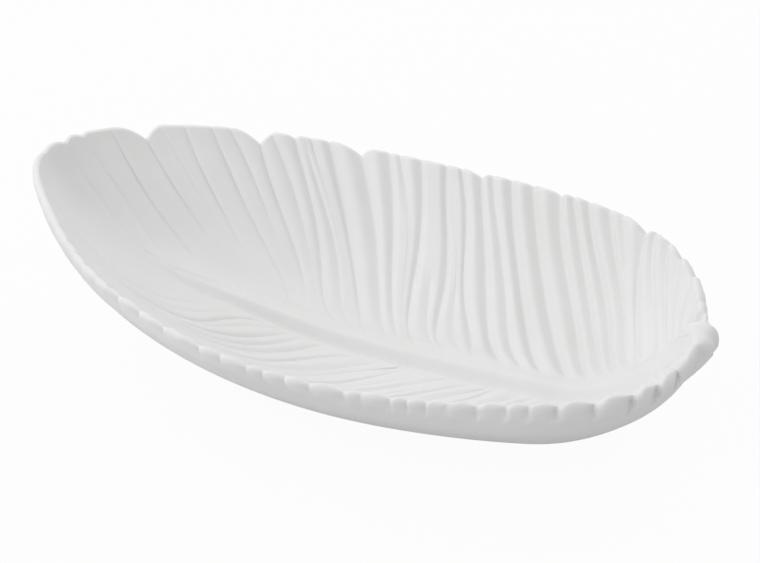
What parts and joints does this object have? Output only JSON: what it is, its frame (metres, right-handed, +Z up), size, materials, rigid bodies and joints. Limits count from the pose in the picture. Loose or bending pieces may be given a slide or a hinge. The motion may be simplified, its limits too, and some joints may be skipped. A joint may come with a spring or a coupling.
{
  "type": "feather dish",
  "caption": "Oval serving dish in matt white ceramic shaped as a curled feather, with a midrib, ridged barbs, a notched rim, a short quill and small pads under its foot.",
  "frame": {"origin": "on the table, under the middle of the dish's length and width", "axes": "+X along the midrib from the tip of the feather to its quill, +Y across to the back, +Z up"},
  "size_m": [0.2962, 0.1574, 0.0772],
  "materials": {
    "ceramic": "matt",
    "pad": "matt"
  },
  "bodies": {
    "root": {"dish_body": "ceramic", "foot_pad_tip_front": "pad", "foot_pad_tip_back": "pad", "foot_pad_quill_front": "pad", "foot_pad_quill_back": "pad"}
  },
  "joints": []
}
